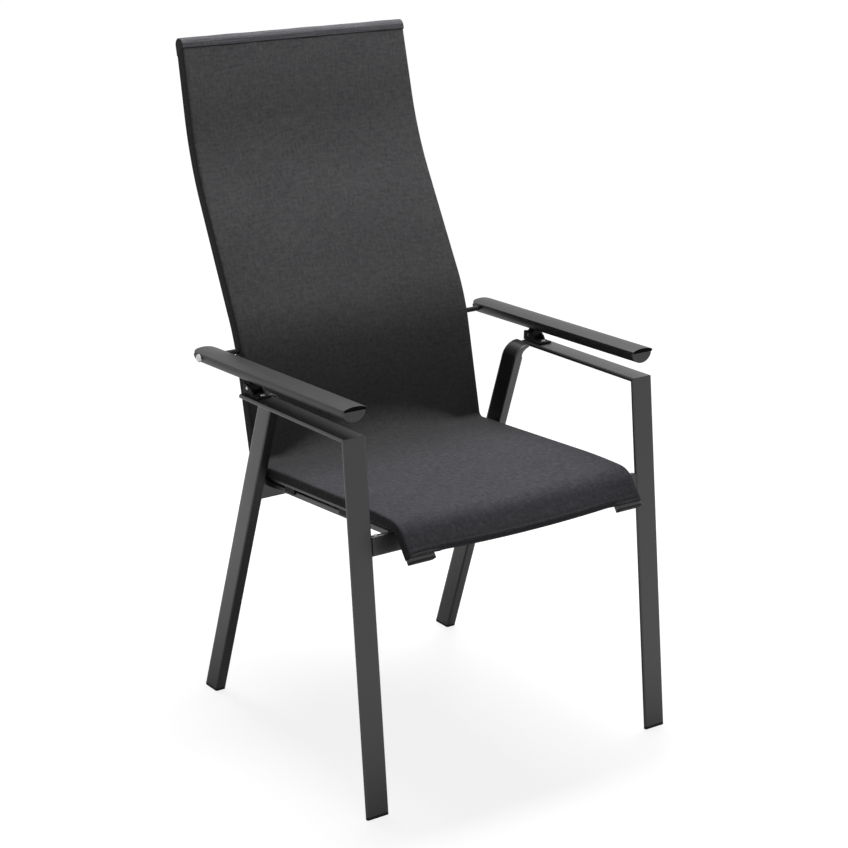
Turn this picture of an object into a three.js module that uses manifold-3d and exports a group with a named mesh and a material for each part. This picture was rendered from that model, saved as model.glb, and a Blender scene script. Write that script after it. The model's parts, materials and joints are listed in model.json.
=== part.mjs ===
// A high-back garden armchair with a stretched sling. The back reclines while
// the seat glides forward and the armrests slide through swivelling guides.
// Millimetres, +Z up. The sitter faces -Y, so +X is the sitter's left.
import * as THREE from 'three';
import { mergeVertices } from 'three/addons/utils/BufferGeometryUtils.js';
import Module from 'manifold-3d';

const wasm = await Module();
wasm.setup();

const degree = Math.PI / 180;

// Clearances
const seatGap = 0.3;
const runningGap = 0.5;
const overrun = 2;

// Overall frame
const frameWidth = 600;
const frameHeight = 579.6;
const sideBarWidth = 40;
const sideBarThickness = 6.5;
const sideBarRadius = 2.8;
const tubeWall = 1.6;
const frontLegLean = 8.64 * degree;
const topRailFall = 2 * degree;
const topRailLength = 276;
const footThickness = 4;
const plugFlange = 2.5;
const plugDepth = 14;

// Rear legs: raked, each flattened at its top where it bends outward to the top rail
const rearLegFromRailEnd = 20.3;
const rearLegRake = 15.5 * degree;
const rearLegWidth = 18.5;
const rearLegDepth = 38.5;
const rearLegFrontRadius = 3;
const rearLegRearRadius = 8;
const rearLegInset = 66.2;
const rearLegBendRadius = 7;
const rearLegTopDrop = 0.5;

// Cross bars between the legs
const crossBarHeight = 30;
const crossBarThickness = 12;
const crossBarLevel = 412;
const rearBarDepth = 22;
const rearBarHeight = 35;
const rearBarLevel = 389.5;
const crossBarRadius = 2.5;
const crossScrewInset = 11;

// Sling: the corner where its seat and its back meet, and its side profile
const cornerBehindFeet = 424.98;
const cornerHeight = 425.5;
const slingEdgeInset = 1;
const slingThickness = 1.6;
const slingRowSpacing = 60;
const seatSlope = 4.3 * degree;
const seatStraight = 263.7;
const seatCrownRadius = 1270;
const frontBendRadius = 42;
const frontDropAngle = 52 * degree;
const frontDrop = 36;
const backLean = 15.2 * degree;
const backLowerStraight = 159.9;
const lumbarRadius = 354;
const lumbarTurn = 14 * degree;
const backMiddleStraight = 181.4;
const neckRadius = 558;
const neckTurn = 14 * degree;
const headStraight = 114.5;
const backTaper = 9.5;
const topHem = 14;
const creaseEdgeRadius = 9;
const creaseMiddleRadius = 68;
const seatSag = 5;
const backSag = 4;

// Sling rails: flat tubes under the sling's two edges
const slingRailWidth = 46;
const seatRailThickness = 14.5;
const backRailThickness = 16.5;
const slingRailRadius = 3;
const slingRailInset = 73.4;
const railEndPastHem = 3;

// Runner along the lower outer edge of each seat rail
const runnerWidth = 8;
const runnerThickness = 3.4;
const runnerStart = 34;
const runnerEnd = 258;

// Hinge between the seat rails and the back rails
const hingeReach = 15;
const hingePinDiameter = 6;
const hingeTongueWidth = 14;
const hingeSpigotLength = 25;

// Spreaders that hold the sling rails apart
const spreaderDepth = 24;
const spreaderThickness = 11.5;
const spreaderRadius = 4;
const seatSpreaderBow = 24;
const frontSpreaderPlace = 262;
const rearSpreaderPlace = 72;
const backSpreaderBow = 26;
const backSpreaderPlace = 214;
const topBarHeight = 16;

// Rails that carry the gliding seat, and the shoes that run on them
const supportRailWidth = 26;
const supportRailHeight = 9.5;
const supportRailInset = 17.5;
const glideShoeGap = 8.9;
const glideShoeNeck = 16;
const glideShoeLength = 26;
const glideShoeLip = 5;
const glideShoeWall = 2.2;
const frontShoePlace = 236;
const rearShoePlace = 88;

// Armrests: the pivot on the back, the cap and the half-round rail under it
const armInset = 21;
const armFall = 2.8 * degree;
const armAboveAxle = 9;
const pivotBelowRailTop = 4.1;
const armFrontReach = 395;
const armRearReach = 21;
const capWidth = 42;
const capThickness = 7;
const capEdge = 3.2;
const capFrontRadius = 3;
const capRearRadius = 10;
const armRailWidth = 40;
const armRailDepth = 17.5;
const armRailWall = 2.5;
const armRailInset = 3;
const armSlotWidth = 10;
const pivotBoltDiameter = 6;
const pivotHeadDiameter = 14;
const pivotHeadHeight = 3.6;
const pivotBoltGrip = 13.5;
const pivotSpacerDiameter = 8.4;

// Guides on the top rails that the armrests slide through
const guideFromRailEnd = 5;
const guideAxleHeight = 10;
const guideWidth = 24;
const guideCheek = 3;
const guideRearReach = 10.5;
const guideFrontReach = 17;
const guideHeight = 16.2;
const guideRearHeight = 12.5;
const guideToeReach = 33;
const guideToeThickness = 2.5;
const guideWebThickness = 2.4;
const guideWebHeight = 6;
const guideAxleDiameter = 5;
const guideNeckWidth = 8;
const guideNeckLength = 14;
const guideKeyWidth = 16;
const guideKeyThickness = 2.8;
const guideKeyLift = 2;
const screwDiameter = 4;
const screwHeadDiameter = 7;
const screwHeadHeight = 2.2;
const screwLength = 7;
const guideScrewPlace = 26;

// Counts of facets
const cornerSteps = 2;
const bendSteps = 5;
const roundSteps = 16;
const slingAcrossSteps = 8;

// Colours and finishes
function paint(color, roughness, metalness) {
  return () => new THREE.MeshStandardMaterial({ color, roughness, metalness });
}

const framePaint = paint('#3c3d40', 0.5, 0.35);
const slingCloth = paint('#37363c', 0.9, 0);
const blackPlastic = paint('#191919', 0.55, 0);
const greyPlastic = paint('#4b4c4e', 0.55, 0);
const stainless = paint('#c9cbcc', 0.25, 1);

// Booleans on closed meshes
function solidOf(geometry) {
  const bare = geometry.clone();
  bare.deleteAttribute('normal');
  bare.deleteAttribute('uv');
  const merged = mergeVertices(bare);
  const vertProperties = new Float32Array(merged.attributes.position.array);
  const triVerts = new Uint32Array(merged.index.array);
  return new wasm.Manifold(new wasm.Mesh({ numProp: 3, vertProperties, triVerts }));
}

function geometryOf(solid) {
  const mesh = solid.getMesh();
  const geometry = new THREE.BufferGeometry();
  geometry.setAttribute('position', new THREE.BufferAttribute(new Float32Array(mesh.vertProperties), 3));
  geometry.setIndex(new THREE.BufferAttribute(new Uint32Array(mesh.triVerts), 1));
  return geometry;
}

function joined(...geometries) {
  return geometryOf(geometries.map(solidOf).reduce((sum, solid) => sum.add(solid)));
}

function cut(geometry, ...tools) {
  return geometryOf(tools.map(solidOf).reduce((rest, tool) => rest.subtract(tool), solidOf(geometry)));
}

// Winding: a mapped shape may come out inside out, so its triangles are turned to face out
function facingOut(geometry) {
  const bare = geometry.clone();
  bare.deleteAttribute('normal');
  bare.deleteAttribute('uv');
  const merged = mergeVertices(bare);
  const place = merged.attributes.position;
  const index = merged.index.array;
  const corner = [new THREE.Vector3(), new THREE.Vector3(), new THREE.Vector3()];
  let volume = 0;
  for (let i = 0; i < index.length; i += 3) {
    corner.forEach((point, k) => point.fromBufferAttribute(place, index[i + k]));
    volume += corner[0].dot(corner[1].clone().cross(corner[2]));
  }
  if (volume < 0) {
    for (let i = 0; i < index.length; i += 3) {
      [index[i + 1], index[i + 2]] = [index[i + 2], index[i + 1]];
    }
  }
  return merged;
}

function mirrored(geometry) {
  return facingOut(geometry.clone().scale(-1, 1, 1));
}

// Sections
function roundedSection(width, height, lowRadius, highRadius = lowRadius) {
  const shape = new THREE.Shape();
  const x = width / 2;
  const y = height / 2;
  shape.moveTo(lowRadius - x, -y);
  shape.lineTo(x - lowRadius, -y);
  shape.absarc(x - lowRadius, lowRadius - y, lowRadius, -Math.PI / 2, 0);
  shape.lineTo(x, y - highRadius);
  shape.absarc(x - highRadius, y - highRadius, highRadius, 0, Math.PI / 2);
  shape.lineTo(highRadius - x, y);
  shape.absarc(highRadius - x, y - highRadius, highRadius, Math.PI / 2, Math.PI);
  shape.lineTo(-x, lowRadius - y);
  shape.absarc(lowRadius - x, lowRadius - y, lowRadius, Math.PI, 1.5 * Math.PI);
  return shape;
}

function tubeSection(width, height, lowRadius, highRadius = lowRadius) {
  const shape = roundedSection(width, height, lowRadius, highRadius);
  shape.holes.push(boreSection(width, height, lowRadius, highRadius, 0));
  return shape;
}

function boreSection(width, height, lowRadius, highRadius, gap) {
  const inset = tubeWall + gap;
  return roundedSection(
    width - 2 * inset,
    height - 2 * inset,
    Math.max(lowRadius - inset, seatGap),
    Math.max(highRadius - inset, seatGap),
  );
}

// Sweep: a section in the plane of each station's two vectors, from station to station
function sweep(section, stations) {
  const last = stations.length - 1;
  const geometry = new THREE.ExtrudeGeometry(section, {
    depth: last,
    steps: last,
    curveSegments: cornerSteps,
    bevelEnabled: false,
  });
  const place = geometry.attributes.position;
  const point = new THREE.Vector3();
  for (let i = 0; i < place.count; i += 1) {
    const station = stations[Math.round(place.getZ(i))];
    point.copy(station.origin);
    point.addScaledVector(station.across, place.getX(i));
    point.addScaledVector(station.normal, place.getY(i));
    place.setXYZ(i, point.x, point.y, point.z);
  }
  return facingOut(geometry);
}

const sideways = new THREE.Vector3(1, 0, 0);
const rearwards = new THREE.Vector3(0, 1, 0);
const upwards = new THREE.Vector3(0, 0, 1);

function inSide(y, z, x = 0) {
  return new THREE.Vector3(x, y, z);
}

function heading(angle) {
  return inSide(Math.cos(angle), Math.sin(angle));
}

// A cut across a bar: the vector along the cut that steps one unit out from the bar's axis
function cutVector(direction, along) {
  const normal = direction.clone().cross(sideways);
  return along.clone().divideScalar(along.dot(normal));
}

function bar(section, x, start, startCut, end, endCut) {
  const direction = end.clone().sub(start).normalize();
  const offset = inSide(0, 0, x);
  return sweep(section, [
    { origin: start.clone().add(offset), across: sideways, normal: cutVector(direction, startCut) },
    { origin: end.clone().add(offset), across: sideways, normal: cutVector(direction, endCut) },
  ]);
}

// Profile in the side plane: straight runs and arcs, each starting where the last one ends
function trace(start, startAngle, runs) {
  const stops = [{ point: start.clone(), angle: startAngle }];
  for (const run of runs) {
    const { point, angle } = stops.at(-1);
    if (run.straight !== undefined) {
      stops.push({ point: point.clone().addScaledVector(heading(angle), run.straight), angle });
      continue;
    }
    const toCentre = Math.sign(run.turn) * run.radius;
    const centre = point.clone().addScaledVector(heading(angle + Math.PI / 2), toCentre);
    for (let i = 1; i <= run.steps; i += 1) {
      const at = angle + (run.turn * i) / run.steps;
      stops.push({ point: centre.clone().addScaledVector(heading(at + Math.PI / 2), -toCentre), angle: at });
    }
  }
  return stops;
}

function cylinderAlongX(diameter, fromX, toX, y, z) {
  const geometry = new THREE.CylinderGeometry(diameter / 2, diameter / 2, toX - fromX, roundSteps);
  return geometry.rotateZ(Math.PI / 2).translate((fromX + toX) / 2, y, z);
}

function box(fromX, toX, fromY, toY, fromZ, toZ) {
  const geometry = new THREE.BoxGeometry(toX - fromX, toY - fromY, toZ - fromZ);
  return geometry.translate((fromX + toX) / 2, (fromY + toY) / 2, (fromZ + toZ) / 2);
}

function screw(length) {
  const head = screwHeadDiameter / 2;
  const shank = screwDiameter / 2;
  const profile = new THREE.Path();
  profile.moveTo(0, -length);
  profile.lineTo(shank, -length);
  profile.lineTo(shank, seatGap);
  profile.lineTo(head, seatGap);
  profile.quadraticCurveTo(head, screwHeadHeight, 0, screwHeadHeight + seatGap);
  const points = profile.getPoints(cornerSteps);
  points.at(-1).x = 0;
  return new THREE.LatheGeometry(points, roundSteps).rotateX(Math.PI / 2);
}

// Groups of the scene
const chair = new THREE.Group();

function group(parent, x = 0, y = 0, z = 0, tilt = 0) {
  const child = new THREE.Group();
  child.position.set(x, y, z);
  child.rotation.x = tilt;
  parent.add(child);
  return child;
}

function add(parent, name, geometry, material) {
  const mesh = new THREE.Mesh(facingOut(geometry), material());
  mesh.name = name;
  parent.add(mesh);
}

function addPair(parent, name, geometry, material) {
  add(parent, `${name}_left`, geometry, material);
  add(parent, `${name}_right`, mirrored(geometry), material);
}

// Places across the chair, measured in from the side frames' outer faces
const rearLegInnerFace = frameWidth / 2 - rearLegInset;
const slingRailOuterFace = frameWidth / 2 - slingRailInset;
const armCentre = frameWidth / 2 - armInset;

// Side frames: front leg and top rail, mitred together
const frame = group(chair);
const sideBarCentre = (frameWidth - sideBarWidth) / 2;
const sideBarTube = tubeSection(sideBarWidth, sideBarThickness, sideBarRadius);
const sideBarBore = boreSection(sideBarWidth, sideBarThickness, sideBarRadius, sideBarRadius, seatGap);
const legUp = heading(Math.PI / 2 - frontLegLean);
const railBack = heading(-topRailFall);
const outerCorner = inSide(frameHeight * Math.tan(frontLegLean), frameHeight);
const mitre = railBack.clone().sub(legUp).normalize();
const mitreSine = Math.sin(mitre.angleTo(railBack));
const mitrePoint = outerCorner.clone().addScaledVector(mitre, sideBarThickness / 2 / mitreSine);
const mitreGap = seatGap / 2 / mitreSine;

function onFrontLeg(height) {
  const slant = Math.tan(frontLegLean) * height + sideBarThickness / 2 / Math.cos(frontLegLean);
  return inSide(slant, height);
}

function onTopRail(length) {
  return outerCorner.clone().addScaledVector(railBack, length);
}

function topRailCentre(length) {
  return onTopRail(length).addScaledVector(heading(-topRailFall - Math.PI / 2), sideBarThickness / 2);
}

const frontLegTop = mitrePoint.clone().addScaledVector(legUp, -mitreGap);
const legFoot = onFrontLeg(footThickness + seatGap);
const frontLeg = bar(sideBarTube, sideBarCentre, legFoot, rearwards, frontLegTop, mitre);
addPair(frame, 'front_leg', frontLeg, framePaint);

function frontFoot() {
  const solid = roundedSection(sideBarWidth, sideBarThickness, sideBarRadius);
  const pad = bar(solid, sideBarCentre, onFrontLeg(0), rearwards, onFrontLeg(footThickness), rearwards);
  const low = onFrontLeg(footThickness / 2);
  const high = onFrontLeg(footThickness + plugDepth);
  return joined(pad, bar(sideBarBore, sideBarCentre, low, rearwards, high, rearwards));
}

addPair(frame, 'front_foot', frontFoot(), blackPlastic);

const guideScrewHole = new THREE.CylinderGeometry(
  screwDiameter / 2 + seatGap,
  screwDiameter / 2 + seatGap,
  2 * (tubeWall + overrun),
  roundSteps,
).rotateX(Math.PI / 2);

function topRail() {
  const start = mitrePoint.clone().addScaledVector(railBack, mitreGap);
  const square = heading(Math.PI / 2 - topRailFall);
  const rail = bar(sideBarTube, sideBarCentre, start, mitre, topRailCentre(topRailLength), square);
  const hole = guideScrewHole.clone().rotateX(-topRailFall);
  const at = onTopRail(topRailLength - guideFromRailEnd - guideScrewPlace);
  return cut(rail, hole.translate(armCentre, at.y, at.z));
}

addPair(frame, 'top_rail', topRail(), framePaint);

function topRailPlug() {
  const square = heading(Math.PI / 2 - topRailFall);
  const flangeStart = topRailCentre(topRailLength + seatGap);
  const flangeEnd = topRailCentre(topRailLength + seatGap + plugFlange);
  const solid = roundedSection(sideBarWidth, sideBarThickness, sideBarRadius);
  const flange = bar(solid, sideBarCentre, flangeStart, square, flangeEnd, square);
  const deep = topRailCentre(topRailLength - plugDepth);
  const inFlange = topRailCentre(topRailLength + seatGap + plugFlange / 2);
  return joined(flange, bar(sideBarBore, sideBarCentre, deep, square, inFlange, square));
}

addPair(frame, 'top_rail_plug', topRailPlug(), framePaint);

// Rear legs: raked, with the top bent outward onto the inner side of the top rail
const rakeSlope = Math.tan(rearLegRake);
const railInnerFace = frameWidth / 2 - sideBarWidth;
const stubTop = onTopRail(topRailLength).z - rearLegTopDrop;
const stubShare = sideBarThickness / rearLegWidth;
const footSpacing = onTopRail(topRailLength - rearLegFromRailEnd).y + rakeSlope * stubTop;

function rearLegStations(fromHeight, toHeight, withBend) {
  const x = rearLegInnerFace + rearLegWidth / 2;
  const stations = [
    { x, z: fromHeight, turn: 0, share: 1 },
    { x, z: toHeight, turn: 0, share: 1 },
  ];
  if (withBend) {
    const radius = rearLegBendRadius + rearLegWidth;
    for (let i = 1; i <= bendSteps; i += 1) {
      const turn = (Math.PI / 2) * (i / bendSteps);
      const share = THREE.MathUtils.lerp(1, stubShare, i / bendSteps);
      const reach = radius - (rearLegWidth / 2) * share;
      const bendX = rearLegInnerFace + radius - reach * Math.cos(turn);
      stations.push({ x: bendX, z: toHeight + reach * Math.sin(turn), turn, share });
    }
    stations.push({ ...stations.at(-1), x: railInnerFace - seatGap });
  }
  return stations.map((stop) => ({
    origin: inSide(footSpacing + rearLegDepth / 2, stop.z, stop.x),
    across: new THREE.Vector3(Math.cos(stop.turn), 0, -Math.sin(stop.turn)).multiplyScalar(stop.share),
    normal: rearwards,
  }));
}

function raked(geometry) {
  const shear = new THREE.Matrix4().set(1, 0, 0, 0, 0, 1, -rakeSlope, 0, 0, 0, 1, 0, 0, 0, 0, 1);
  return geometry.applyMatrix4(shear);
}

const rearLegStraightTop = stubTop - rearLegBendRadius - rearLegWidth;

function rearLeg() {
  const tube = tubeSection(rearLegWidth, rearLegDepth, rearLegFrontRadius, rearLegRearRadius);
  return raked(sweep(tube, rearLegStations(footThickness + seatGap, rearLegStraightTop, true)));
}

addPair(frame, 'rear_leg', rearLeg(), framePaint);

function rearFoot() {
  const solid = roundedSection(rearLegWidth, rearLegDepth, rearLegFrontRadius, rearLegRearRadius);
  const bore = boreSection(rearLegWidth, rearLegDepth, rearLegFrontRadius, rearLegRearRadius, seatGap);
  const pad = sweep(solid, rearLegStations(0, footThickness, false));
  const plug = sweep(bore, rearLegStations(footThickness / 2, footThickness + plugDepth, false));
  return raked(joined(pad, plug));
}

addPair(frame, 'rear_foot', rearFoot(), blackPlastic);

// Cross bars
function crossBar(section, halfLength, centre, across, normal) {
  return sweep(section, [-halfLength, halfLength].map((x) => ({
    origin: centre.clone().add(inSide(0, 0, x)),
    across,
    normal,
  })));
}

const legNormal = heading(-frontLegLean);
const frontBarSetback = (crossBarThickness - sideBarThickness) / 2;
const frontBarCentre = onFrontLeg(crossBarLevel).addScaledVector(legNormal, frontBarSetback);
const crossScrewX = railInnerFace - crossScrewInset;
const crossScrewPlace = frontBarCentre.clone().addScaledVector(legUp, crossBarHeight / 2);

function frontCrossBar() {
  const tube = tubeSection(crossBarThickness, crossBarHeight, crossBarRadius);
  const whole = crossBar(tube, railInnerFace - seatGap, frontBarCentre, legNormal, legUp);
  const hole = guideScrewHole.clone().rotateX(-frontLegLean);
  const { y, z } = crossScrewPlace;
  return cut(whole, hole.clone().translate(crossScrewX, y, z), hole.translate(-crossScrewX, y, z));
}

add(frame, 'front_cross_bar', frontCrossBar(), framePaint);

function crossBarScrew() {
  const { y, z } = crossScrewPlace;
  return screw(screwLength).rotateX(-frontLegLean).translate(crossScrewX, y, z);
}

addPair(frame, 'cross_bar_screw', crossBarScrew(), stainless);

const rearBarCentre = inSide(footSpacing + rearLegDepth / 2 - rakeSlope * rearBarLevel, rearBarLevel);
const rearBarTube = tubeSection(rearBarDepth, rearBarHeight, crossBarRadius);
const rearBar = crossBar(rearBarTube, rearLegInnerFace - seatGap, rearBarCentre, rearwards, upwards);
add(frame, 'rear_cross_bar', rearBar, framePaint);

// Places that hang on the sling's corner
const slingRailCentre = slingRailOuterFace - slingRailWidth / 2;
const railTopDepth = slingThickness + seatGap;
const seatRailDepth = railTopDepth + seatRailThickness / 2;
const backRailDepth = railTopDepth + backRailThickness / 2;
const corner = inSide(cornerBehindFeet, cornerHeight);
const seatAngle = Math.PI - seatSlope;
const backAngle = Math.PI / 2 - backLean;
const seatForward = heading(seatAngle);
const seatDown = heading(seatAngle + Math.PI / 2);
const backUp = heading(backAngle);
const backAway = heading(backAngle - Math.PI / 2);
const cornerHalfAngle = (seatAngle - backAngle) / 2;

// The hinge lies where the centre lines of the seat rail and the back rail cross
const hingeAlongSeat = (backRailDepth - seatRailDepth * seatDown.dot(backAway)) / seatForward.dot(backAway);
const hinge = seatForward.clone().multiplyScalar(hingeAlongSeat).addScaledVector(seatDown, seatRailDepth);

// Support rails, fixed between the cross bars and parallel to the seat
const supportDepth = railTopDepth + seatRailThickness + glideShoeGap + supportRailHeight / 2;

function onSupportRail(y) {
  const start = corner.clone().addScaledVector(seatDown, supportDepth);
  return start.addScaledVector(seatForward, (start.y - y) / Math.cos(seatSlope));
}

function supportRail() {
  const rear = onSupportRail(rearBarCentre.y - rearBarDepth / 2 - seatGap);
  const faceAtBar = frontBarCentre.clone().addScaledVector(legNormal, crossBarThickness / 2 + seatGap);
  const rise = onSupportRail(faceAtBar.y).z - faceAtBar.z;
  const front = onSupportRail(faceAtBar.y + rise * Math.tan(frontLegLean));
  const tube = tubeSection(supportRailWidth, supportRailHeight, crossBarRadius);
  return bar(tube, slingRailOuterFace - supportRailInset, rear, upwards, front, legUp);
}

addPair(frame, 'support_rail', supportRail(), framePaint);

// Seat: sling rails, caps, spreaders, glide shoes and hinge lugs
const seat = group(chair, 0, corner.y, corner.z);
const seatRuns = [
  { straight: seatStraight },
  { radius: seatCrownRadius, turn: seatSlope, steps: 2 },
  { radius: frontBendRadius, turn: frontDropAngle, steps: bendSteps },
  { straight: frontDrop },
];
const seatProfile = trace(inSide(0, 0), seatAngle, seatRuns);
const backRuns = [
  { straight: backLowerStraight },
  { radius: lumbarRadius, turn: -lumbarTurn, steps: bendSteps },
  { straight: backMiddleStraight },
  { radius: neckRadius, turn: neckTurn, steps: bendSteps },
  { straight: headStraight },
];
const backProfile = trace(inSide(0, 0), backAngle, backRuns);

// Each side of the back leans inward from the top of the lumbar arc to the head
const taperStart = backProfile[bendSteps + 1].point.z;
const taperRise = backProfile.at(-1).point.z - taperStart;

function narrowing(height) {
  return backTaper * THREE.MathUtils.clamp((height - taperStart) / taperRise, 0, 1);
}

function profileStations(profile, depthSide, depth, x) {
  return profile.map(({ point, angle }) => {
    const normal = heading(angle + (Math.PI / 2) * depthSide);
    const origin = point.clone().addScaledVector(normal, depth).add(inSide(0, 0, x - narrowing(point.z)));
    return { origin, across: sideways, normal };
  });
}

function shifted(station, direction, length) {
  return { ...station, origin: station.origin.clone().addScaledVector(direction, length) };
}

const seatRailTube = tubeSection(slingRailWidth, seatRailThickness, slingRailRadius);
const seatRailBore = boreSection(
  slingRailWidth,
  seatRailThickness,
  slingRailRadius,
  slingRailRadius,
  seatGap,
);
const seatRailSolid = roundedSection(slingRailWidth, seatRailThickness, slingRailRadius);

function hingeStation(stations, direction) {
  const start = hinge.clone().add(inSide(0, 0, slingRailCentre)).addScaledVector(direction, hingeReach);
  return [{ ...stations[0], origin: start }, ...stations.slice(1)];
}

const seatRailStations = profileStations(seatProfile, 1, seatRailDepth, slingRailCentre);
const seatStations = hingeStation(seatRailStations, seatForward);
const dropHeading = heading(seatProfile.at(-1).angle);
const seatRailEnd = shifted(seatStations.at(-1), dropHeading, railEndPastHem);
const seatRailBar = sweep(seatRailTube, [...seatStations.slice(0, -1), seatRailEnd]);

function underSeat(place, depth) {
  return inSide(0, 0).addScaledVector(seatForward, place).addScaledVector(seatDown, depth);
}

function seatRunner() {
  const section = roundedSection(runnerWidth, runnerThickness + tubeWall, seatGap);
  const depth = railTopDepth + seatRailThickness + (runnerThickness - tubeWall) / 2;
  const x = slingRailOuterFace - runnerWidth / 2;
  return bar(section, x, underSeat(runnerStart, depth), seatDown, underSeat(runnerEnd, depth), seatDown);
}

addPair(seat, 'seat_rail', joined(seatRailBar, seatRunner()), framePaint);

function seatRailCap() {
  const outer = shifted(seatRailEnd, dropHeading, seatGap);
  const flange = sweep(seatRailSolid, [outer, shifted(outer, dropHeading, plugFlange)]);
  const inner = shifted(outer, dropHeading, plugFlange / 2);
  return joined(flange, sweep(seatRailBore, [inner, shifted(inner, dropHeading, -plugDepth)]));
}

addPair(seat, 'seat_rail_cap', seatRailCap(), blackPlastic);

const spreaderHalf = slingRailOuterFace - slingRailWidth - seatGap;

function spreader(centre, along, away, bow) {
  const tube = tubeSection(spreaderDepth, spreaderThickness, spreaderRadius);
  const stations = [];
  for (let i = 0; i <= bendSteps; i += 1) {
    const x = spreaderHalf * ((2 * i) / bendSteps - 1);
    const dip = bow * (1 - (x / spreaderHalf) ** 2);
    const origin = centre.clone().addScaledVector(away, dip).add(inSide(0, 0, x));
    stations.push({ origin, across: along, normal: away });
  }
  return sweep(tube, stations);
}

for (const [end, place] of [['front', frontSpreaderPlace], ['rear', rearSpreaderPlace]]) {
  const tube = spreader(underSeat(place, seatRailDepth), seatForward, seatDown, seatSpreaderBow);
  add(seat, `seat_${end}_spreader`, tube, framePaint);
}

function glideShoe(place) {
  const outerX = supportRailWidth / 2 + seatGap + glideShoeWall;
  const innerX = supportRailWidth / 2 + seatGap;
  const top = railTopDepth + seatRailThickness + seatGap;
  const shoulder = top + runnerThickness;
  const neck = glideShoeNeck / 2;
  const sole = railTopDepth + seatRailThickness + glideShoeGap - seatGap;
  const section = new THREE.Shape();
  section.moveTo(-neck, top);
  section.lineTo(neck, top);
  section.lineTo(neck, shoulder);
  section.lineTo(outerX, shoulder);
  section.lineTo(outerX, sole + glideShoeLip);
  section.lineTo(innerX, sole + glideShoeLip);
  section.lineTo(innerX, sole);
  section.lineTo(-innerX, sole);
  section.lineTo(-innerX, sole + glideShoeLip);
  section.lineTo(-outerX, sole + glideShoeLip);
  section.lineTo(-outerX, shoulder);
  section.lineTo(-neck, shoulder);
  section.closePath();
  return sweep(section, [-glideShoeLength / 2, glideShoeLength / 2].map((step) => ({
    origin: underSeat(place + step, 0).add(inSide(0, 0, slingRailOuterFace - supportRailInset)),
    across: sideways,
    normal: seatDown,
  })));
}

addPair(seat, 'front_glide_shoe', glideShoe(frontShoePlace), blackPlastic);
addPair(seat, 'rear_glide_shoe', glideShoe(rearShoePlace), blackPlastic);

// Hinge knuckles: a tongue on the seat rail between two ears on the back rail
const hingeHole = hingePinDiameter + 2 * seatGap;

function knuckle(fromX, toX) {
  const eye = seatRailThickness / 2;
  const shape = new THREE.Shape();
  shape.absarc(0, 0, eye, Math.PI / 2, 1.5 * Math.PI);
  shape.lineTo(hingeReach, -eye);
  shape.lineTo(hingeReach, eye);
  shape.closePath();
  const geometry = new THREE.ExtrudeGeometry(shape, {
    depth: toX - fromX,
    curveSegments: roundSteps / 2,
    bevelEnabled: false,
  });
  const turned = geometry.applyMatrix4(new THREE.Matrix4().makeBasis(rearwards, upwards, sideways));
  return turned.translate(fromX, 0, 0);
}

function hingeBlock(direction, thickness, knuckles) {
  const bore = boreSection(slingRailWidth, thickness, slingRailRadius, slingRailRadius, seatGap);
  const webStart = hingeReach - plugFlange - seatGap;
  const web = box(
    -slingRailWidth / 2,
    slingRailWidth / 2,
    webStart,
    hingeReach - seatGap,
    -thickness / 2,
    thickness / 2,
  );
  const spigot = sweep(bore, [webStart + seatGap, hingeReach + hingeSpigotLength].map((y) => ({
    origin: inSide(y, 0),
    across: sideways,
    normal: upwards,
  })));
  const reach = hingeReach - seatGap - plugFlange / 2;
  const ears = knuckles.map(([fromX, toX]) => {
    const limits = box(fromX, toX, -hingeReach, reach, -hingeReach, hingeReach);
    return geometryOf(solidOf(knuckle(fromX, toX)).intersect(solidOf(limits)));
  });
  const hole = cylinderAlongX(hingeHole, -slingRailWidth, slingRailWidth, 0, 0);
  const block = cut(joined(web, spigot, ...ears), hole);
  const angle = Math.atan2(direction.z, direction.y);
  return block.rotateX(angle).translate(slingRailCentre, hinge.y, hinge.z);
}

const tongue = hingeTongueWidth / 2;
const earStart = tongue + runningGap;
addPair(seat, 'seat_hinge_lug', hingeBlock(seatForward, seatRailThickness, [[-tongue, tongue]]), greyPlastic);

// Back: sling rails, top bar, spreader, hinge forks and pins
const back = group(chair, 0, corner.y, corner.z);
const headUp = heading(backProfile.at(-1).angle);
const headBack = heading(backProfile.at(-1).angle - Math.PI / 2);
const backStations = hingeStation(profileStations(backProfile, -1, backRailDepth, slingRailCentre), backUp);
const backRailTube = tubeSection(slingRailWidth, backRailThickness, slingRailRadius);
const backRailEnd = shifted(backStations.at(-1), headUp, backRailThickness / 2 - topBarHeight - seatGap);
const backTube = sweep(backRailTube, [...backStations.slice(0, -1), backRailEnd]);

// The armrest passes over the guide's axle, and its pivot lies where it meets the back rail's centre line
const guideBaseAt = onTopRail(topRailLength - guideFromRailEnd);
const railUp = heading(Math.PI / 2 - topRailFall);
const guideAxleAt = guideBaseAt.clone().addScaledVector(railUp, guideAxleHeight);
const armUp = heading(Math.PI / 2 - armFall);
const armLevel = guideAxleAt.dot(armUp) + armAboveAxle + armRailDepth - pivotBelowRailTop;

function crossing(stations, direction, level) {
  const above = stations.findIndex(({ origin }) => origin.dot(direction) > level);
  const low = stations[above - 1].origin;
  const high = stations[above].origin;
  const lowLevel = low.dot(direction);
  return low.clone().lerp(high, (level - lowLevel) / (high.dot(direction) - lowLevel));
}

const pivot = crossing(backStations, armUp, armLevel - corner.dot(armUp));
const pivotHole = pivotBoltDiameter + 2 * seatGap;
const pivotBore = cylinderAlongX(
  pivotHole,
  slingRailOuterFace - tubeWall - overrun,
  slingRailOuterFace + overrun,
  pivot.y,
  pivot.z,
);
addPair(back, 'back_rail', cut(backTube, pivotBore), framePaint);

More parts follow.
